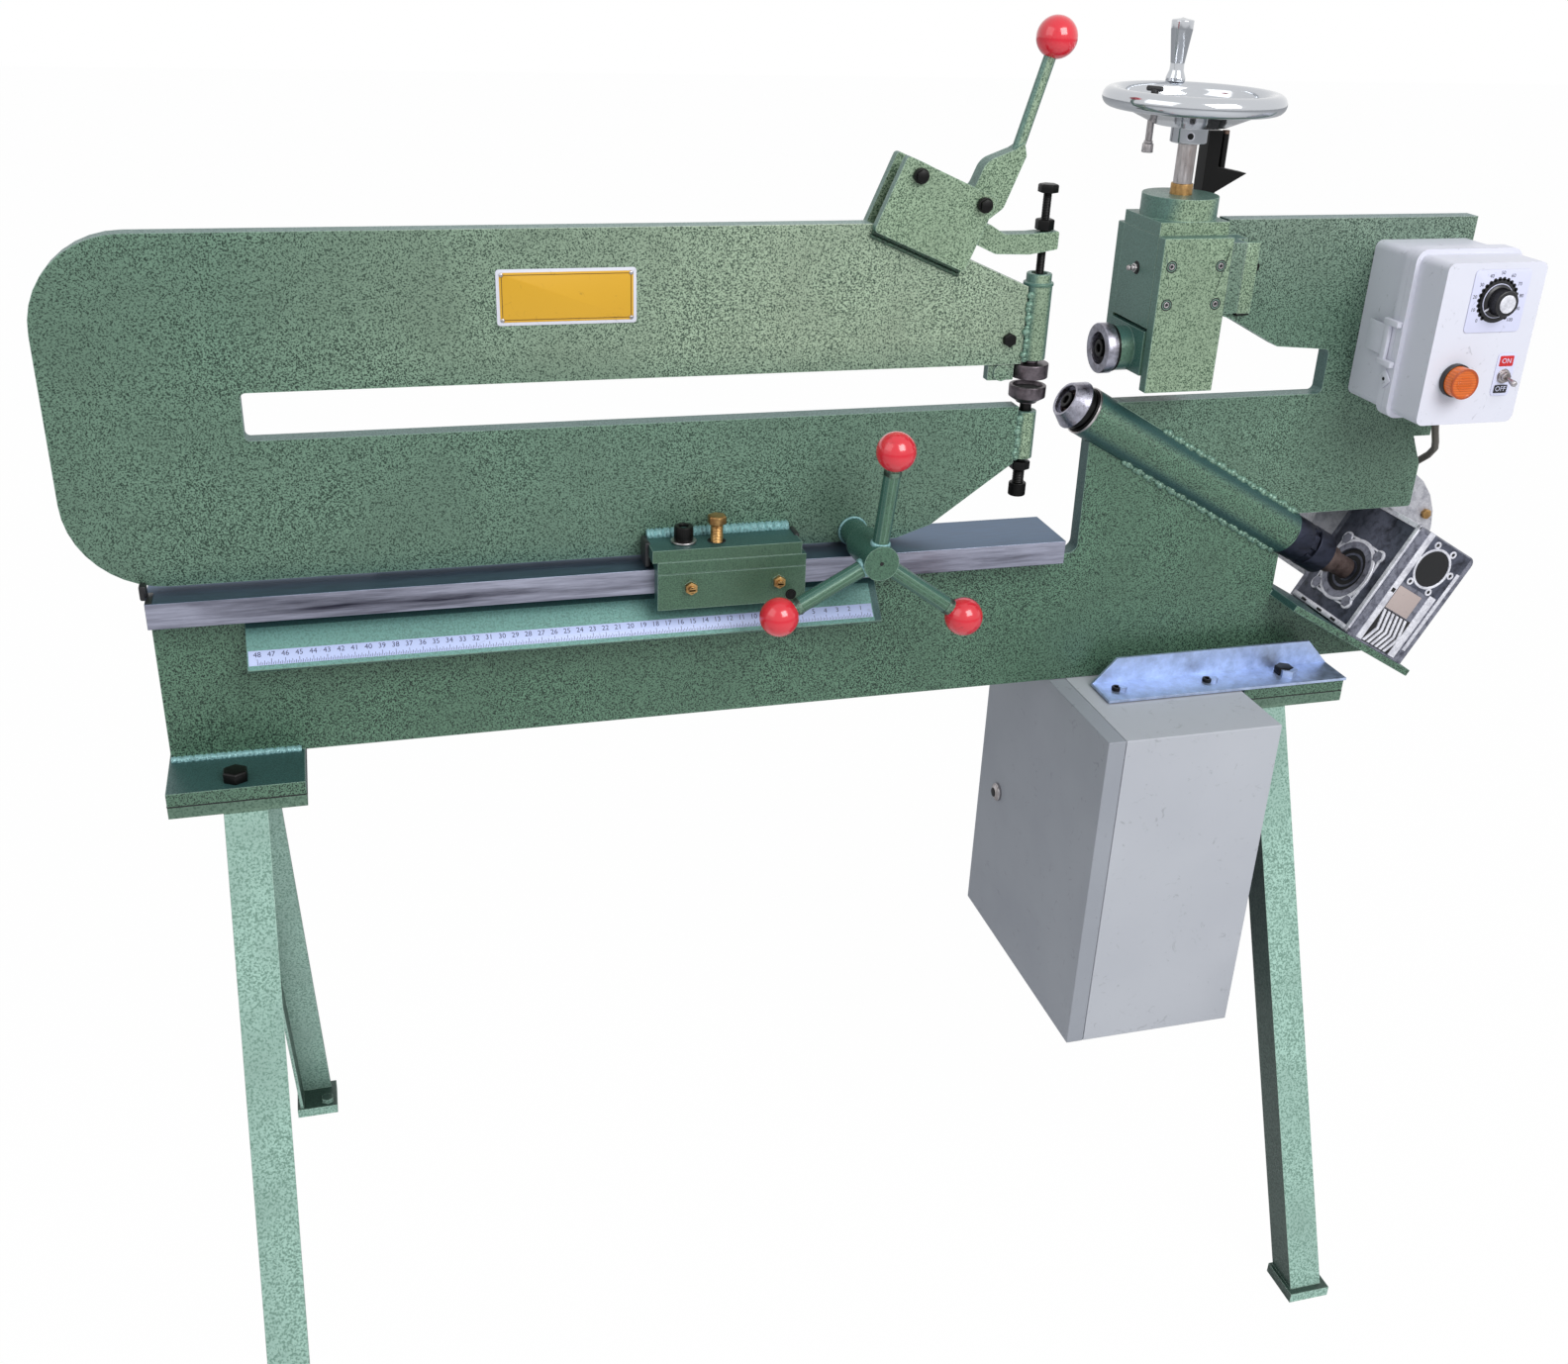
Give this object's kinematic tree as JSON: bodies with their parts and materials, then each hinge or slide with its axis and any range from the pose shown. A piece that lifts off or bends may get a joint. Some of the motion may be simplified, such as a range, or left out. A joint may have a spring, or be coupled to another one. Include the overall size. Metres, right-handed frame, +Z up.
{
  "type": "circle shear",
  "caption": "Powered circle shear: a C-shaped clamp frame slides on a rail while rotary cutters trim a sheet metal disc, on a splayed angle-iron stand.",
  "frame": {"origin": "middle of the machine's bounding box on the floor", "axes": "+X along the plates towards the motor end, +Y away from the operator, +Z up"},
  "size_m": [1.5132, 0.644, 1.3876],
  "materials": {
    "hammertone": "grey-green hammered enamel",
    "hammertone_pale": "paler grey-green hammered enamel",
    "bare_steel": "machined bright steel",
    "black_oxide": "blackened steel",
    "tool_steel": "ground and heat-darkened tool steel",
    "polished_aluminium": "polished",
    "cast_aluminium": "grey casting",
    "brass": "dull brass",
    "bronze": "cast bronze",
    "red_plastic": "glossy red phenolic",
    "white_plastic": "moulded, satin",
    "black_plastic": "moulded, satin",
    "amber_plastic": "translucent amber lens",
    "grey_paint": "light grey powder coat",
    "zinc": "bright zinc plate with a blue tint"
  },
  "bodies": {
    "frame": {"base_plate": "hammertone", "head_plate": "hammertone", "left_stand": "hammertone_pale", "right_stand": "hammertone_pale", "slide_rail": "bare_steel", "rack": "tool_steel", "hanger_angle": "zinc", "head_core": "hammertone", "head_front_plate": "hammertone", "head_back_plate": "hammertone", "head_cap": "hammertone", "screw_bush": "brass", "depth_stop": "black_oxide", "lower_tube": "hammertone", "gearbox_housing": "cast_aluminium", "motor": "cast_aluminium", "control_box": "white_plastic", "enclosure_body": "grey_paint", "power_lead": "black_plastic"},
    "c_frame": {"c_frame_plate": "hammertone", "carriage_shelf": "hammertone", "carriage_saddle": "hammertone", "front_keeper": "hammertone", "rear_guide": "hammertone", "front_cheek": "hammertone", "rear_cheek": "hammertone", "upper_quill_tube": "hammertone", "lower_quill_tube": "hammertone"},
    "capstan": {"capstan": "hammertone", "capstan_knob_1": "red_plastic", "capstan_knob_2": "red_plastic", "capstan_knob_3": "red_plastic"},
    "lock_bolt": {"lock_bolt": "brass"},
    "cam_lever": {"cam_lever": "hammertone", "lever_knob": "red_plastic"},
    "clamp_arm": {"clamp_arm": "hammertone"},
    "adjusting_bolt": {"adjusting_bolt": "black_oxide"},
    "upper_spindle": {"upper_spindle": "bare_steel"},
    "upper_clamp_disc": {"upper_clamp_disc": "tool_steel"},
    "jack_screw": {"jack_screw": "black_oxide"},
    "lower_clamp_disc": {"lower_clamp_disc": "tool_steel"},
    "cutter_slide": {"cutter_slide": "hammertone"},
    "handwheel": {"lead_screw": "bare_steel", "handwheel": "polished_aluminium"},
    "handwheel_handle": {"handwheel_handle": "polished_aluminium"},
    "index_plunger": {"index_plunger": "bare_steel"},
    "upper_cutter": {"upper_shaft": "black_oxide", "upper_cutter": "tool_steel"},
    "drive": {"drive_shaft": "black_oxide", "lower_cutter": "tool_steel", "shaft_coupling": "black_oxide", "worm_wheel": "bronze"},
    "worm": {"worm_shaft": "bare_steel"},
    "control_lid": {"control_lid": "white_plastic", "pilot_lamp": "amber_plastic"},
    "speed_knob": {"speed_knob": "black_plastic"},
    "toggle_lever": {"toggle_lever": "bare_steel"},
    "lid_latch": {"lid_latch": "white_plastic"},
    "enclosure_door": {"enclosure_door": "grey_paint"},
    "door_lock": {"door_lock": "bare_steel"}
  },
  "joints": [
    {"name": "carriage_slide", "type": "slide", "parent": "frame", "child": "c_frame", "axis": [1, 0, 0], "range_m": [-0.461, 0.02]},
    {"name": "capstan_turn", "type": "hinge", "parent": "c_frame", "child": "capstan", "pos_m": [-0.00841, 0, 0.8935], "axis": [0, 1, 0], "range_deg": [-2420, 110]},
    {"name": "lock_bolt_turn", "type": "hinge", "parent": "c_frame", "child": "lock_bolt", "pos_m": [-0.15841, -0.03583, 0.925], "axis": [0, 0, 1], "range_deg": [-180, 180]},
    {"name": "cam_lever_swing", "type": "hinge", "parent": "c_frame", "child": "cam_lever", "pos_m": [0.10147, 0, 1.22015], "axis": [0, 1, 0], "range_deg": [0, 15]},
    {"name": "clamp_arm_swing", "type": "hinge", "parent": "c_frame", "child": "clamp_arm", "pos_m": [0.0348, 0, 1.24736], "axis": [0, 1, 0], "range_deg": [0, 1.6]},
    {"name": "adjusting_bolt_turn", "type": "hinge", "parent": "clamp_arm", "child": "adjusting_bolt", "pos_m": [0.17559, 0, 1.19], "axis": [0, 0, 1], "range_deg": [-360, 360]},
    {"name": "upper_spindle_drop", "type": "slide", "parent": "c_frame", "child": "upper_spindle", "axis": [0, 0, -1], "range_m": [0, 0.0038]},
    {"name": "upper_disc_spin", "type": "hinge", "parent": "upper_spindle", "child": "upper_clamp_disc", "pos_m": [0.17559, 0, 1.053], "axis": [0, 0, 1], "continuous": true},
    {"name": "jack_screw_lift", "type": "slide", "parent": "c_frame", "child": "jack_screw", "axis": [0, 0, 1], "range_m": [0, 0.0035]},
    {"name": "lower_disc_spin", "type": "hinge", "parent": "jack_screw", "child": "lower_clamp_disc", "pos_m": [0.17559, 0, 1.028], "axis": [0, 0, 1], "continuous": true},
    {"name": "cutter_feed", "type": "slide", "parent": "frame", "child": "cutter_slide", "axis": [0, 0, 1], "range_m": [-0.014, 0.0025]},
    {"name": "handwheel_turn", "type": "hinge", "parent": "cutter_slide", "child": "handwheel", "pos_m": [0.31979, 0, 1.3], "axis": [0, 0, 1], "range_deg": [-2000, 360]},
    {"name": "handle_spin", "type": "hinge", "parent": "handwheel", "child": "handwheel_handle", "pos_m": [0.33924, 0.07801, 1.35], "axis": [0, 0, 1], "continuous": true},
    {"name": "index_plunger_lift", "type": "slide", "parent": "handwheel", "child": "index_plunger", "axis": [0, 0, 1], "range_m": [0, 0.008], "stiffness_N_per_m": 400, "springref_m": -0.004},
    {"name": "upper_cutter_spin", "type": "hinge", "parent": "cutter_slide", "child": "upper_cutter", "pos_m": [0.30609, 0, 1.0722], "axis": [1, 0, 0], "continuous": true},
    {"name": "drive_spin", "type": "hinge", "parent": "frame", "child": "drive", "pos_m": [0.48809, 0, 0.8666], "axis": [0.8684, 0, -0.4959], "continuous": true},
    {"name": "worm_spin", "type": "hinge", "parent": "frame", "child": "worm", "pos_m": [0.67006, 0, 0.82026], "axis": [0, 1, 0], "continuous": true},
    {"name": "control_lid_swing", "type": "hinge", "parent": "frame", "child": "control_lid", "pos_m": [0.67059, -0.07797, 1.097], "axis": [0, 0, 1], "range_deg": [0, 110]},
    {"name": "speed_knob_turn", "type": "hinge", "parent": "control_lid", "child": "speed_knob", "pos_m": [0.61309, -0.135, 1.1415], "axis": [0, 1, 0], "range_deg": [0, 300]},
    {"name": "toggle_flip", "type": "hinge", "parent": "control_lid", "child": "toggle_lever", "pos_m": [0.64159, -0.1327, 1.064], "axis": [1, 0, 0], "range_deg": [-28, 0]},
    {"name": "lid_latch_swing", "type": "hinge", "parent": "frame", "child": "lid_latch", "pos_m": [0.54929, -0.0325, 1.089], "axis": [0, 0, -1], "range_deg": [0, 90]},
    {"name": "enclosure_door_swing", "type": "hinge", "parent": "frame", "child": "enclosure_door", "pos_m": [0.25584, -0.1626, 0.5], "axis": [0, 0, 1], "range_deg": [0, 120]},
    {"name": "door_lock_turn", "type": "hinge", "parent": "enclosure_door", "child": "door_lock", "pos_m": [0.23509, 0.09, 0.4972], "axis": [1, 0, 0], "range_deg": [0, 90]}
  ],
  "couplings": [
    {"joint": "capstan_turn", "follows": "carriage_slide", "rad_per_m": 90.909},
    {"joint": "clamp_arm_swing", "follows": "cam_lever_swing", "ratio": 0.1},
    {"joint": "upper_spindle_drop", "follows": "cam_lever_swing", "m_per_rad": 0.01404},
    {"joint": "handwheel_turn", "follows": "cutter_feed", "rad_per_m": 2473.7},
    {"joint": "drive_spin", "follows": "worm_spin", "ratio": 0.033333}
  ]
}
